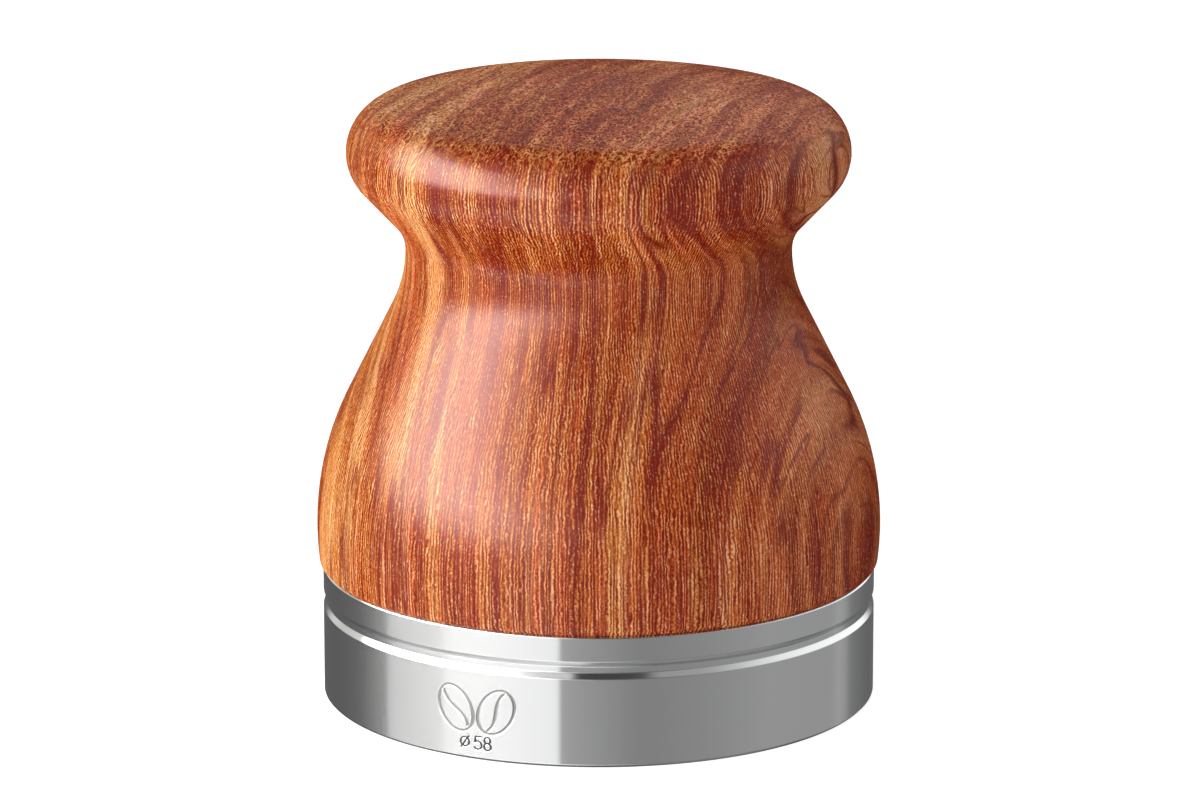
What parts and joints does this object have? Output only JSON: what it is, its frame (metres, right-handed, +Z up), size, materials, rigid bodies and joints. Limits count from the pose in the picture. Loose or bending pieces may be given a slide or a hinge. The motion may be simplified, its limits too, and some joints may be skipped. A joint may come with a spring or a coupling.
{
  "type": "espresso tamper",
  "caption": "Espresso tamper with a waisted turned hardwood palm handle that unscrews from a solid stainless steel piston base with a turned groove.",
  "frame": {"origin": "centre of the flat tamping face, the lowest face of the base", "axes": "+Z up the tamper's turning axis, from the tamping face to the crown of the knob; +X to the right and -Y towards a viewer who faces the size marking"},
  "size_m": [0.0592, 0.0592, 0.065],
  "materials": {
    "stainless": "fine lathe-turned stainless steel",
    "screw_steel": "plain steel set screw",
    "brass": "machined brass",
    "washer_rubber": "matt black rubber",
    "hardwood": "oiled and polished reddish hardwood"
  },
  "bodies": {
    "base": {"tamper_base": "stainless", "base_stud": "screw_steel"},
    "washer": {"friction_washer": "washer_rubber"},
    "handle": {"wood_handle": "hardwood", "threaded_insert": "brass"}
  },
  "joints": [
    {"name": "handle_rise", "type": "slide", "parent": "base", "child": "washer", "axis": [0, 0, 1], "range_m": [0, 0.0126]},
    {"name": "handle_unscrew", "type": "hinge", "parent": "washer", "child": "handle", "pos_m": [0, 0, 0.014], "axis": [0, 0, 1], "range_deg": [0, 3600]}
  ],
  "couplings": [
    {"joint": "handle_rise", "follows": "handle_unscrew", "m_per_rad": 0.00019894}
  ]
}
